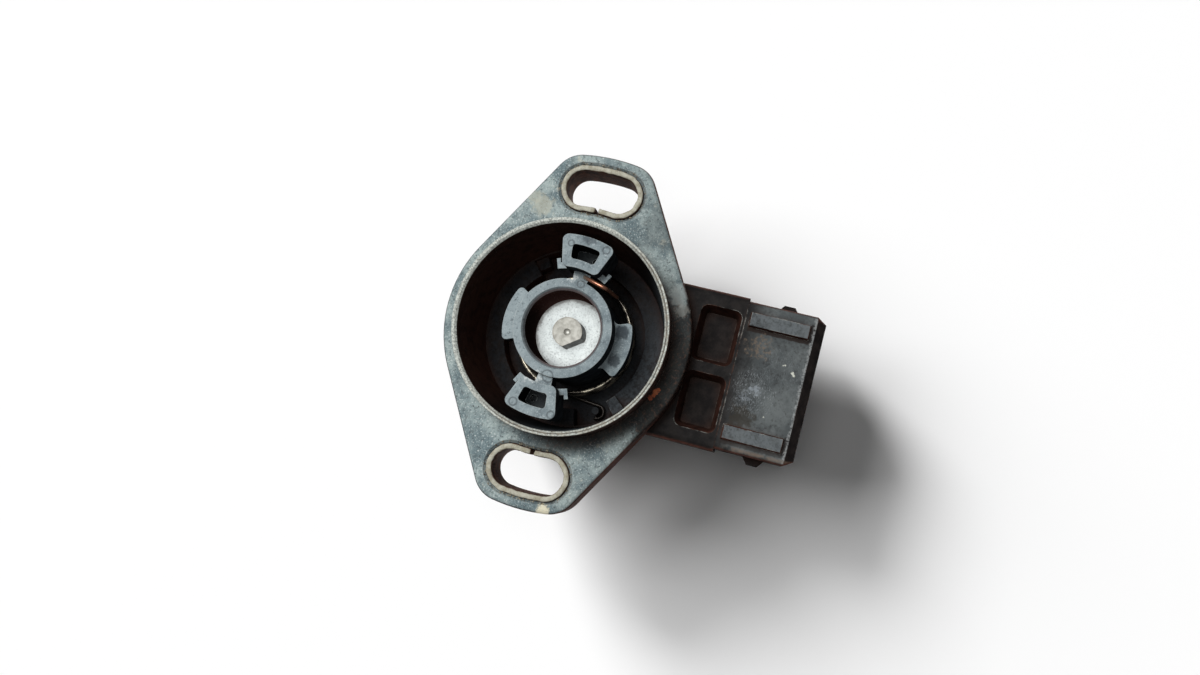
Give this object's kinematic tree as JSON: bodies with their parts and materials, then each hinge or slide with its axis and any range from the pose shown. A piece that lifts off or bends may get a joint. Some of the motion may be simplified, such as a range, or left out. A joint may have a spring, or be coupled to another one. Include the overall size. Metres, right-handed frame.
{
  "type": "throttle position sensor",
  "caption": "Flanged throttle position sensor with an open spigot, sprung two-paddle rotor, steel-sleeved slots and a side plug socket.",
  "frame": {"origin": "on the rotor's axis, in the plane of the flange's mounting face", "axes": "+Z along the rotor's axis, out of the mounting face through the spigot; +X along the line of the two slots; the plug points to -Y"},
  "size_m": [0.0598, 0.0614, 0.0295],
  "materials": {
    "housing_plastic": "matt glass-filled moulding, dusty and scuffed",
    "sleeve_steel": "dull zinc plate",
    "rotor_plastic": "matt pale moulding",
    "plate_steel": "fine blasted",
    "shaft_steel": "turned, slightly stained",
    "spring_wire": "drawn wire with a copper flash",
    "bronze": "sintered, oil-filled",
    "seal_rubber": "matt",
    "washer_steel": "plain",
    "carrier_plastic": "matt moulding",
    "contact_metal": "tin plated",
    "board_ceramic": "fired ceramic",
    "cover_plastic": "matt moulding"
  },
  "bodies": {
    "base": {"housing": "housing_plastic", "slot_sleeve_upper": "sleeve_steel", "slot_sleeve_lower": "sleeve_steel", "return_spring": "spring_wire", "shaft_bush": "bronze", "shaft_seal": "seal_rubber", "element_board": "board_ceramic", "terminal_supply": "contact_metal", "terminal_signal": "contact_metal", "terminal_idle": "contact_metal", "terminal_ground": "contact_metal", "rear_cover": "cover_plastic", "cover_seal": "seal_rubber"},
    "rotor_unit": {"rotor": "rotor_plastic", "hub_plate": "plate_steel", "rotor_shaft": "shaft_steel", "thrust_washer": "washer_steel", "wiper_carrier": "carrier_plastic", "signal_wiper": "contact_metal", "idle_wiper": "contact_metal", "wave_washer": "washer_steel", "retaining_clip": "washer_steel"}
  },
  "joints": [
    {"name": "rotor_turn", "type": "hinge", "parent": "base", "child": "rotor_unit", "pos_m": [0, 0, 0], "axis": [0, 0, -1], "range_deg": [0, 95], "stiffness_Nm_per_rad": 0.02, "springref_deg": -34.38, "deforming": ["return_spring"]}
  ]
}
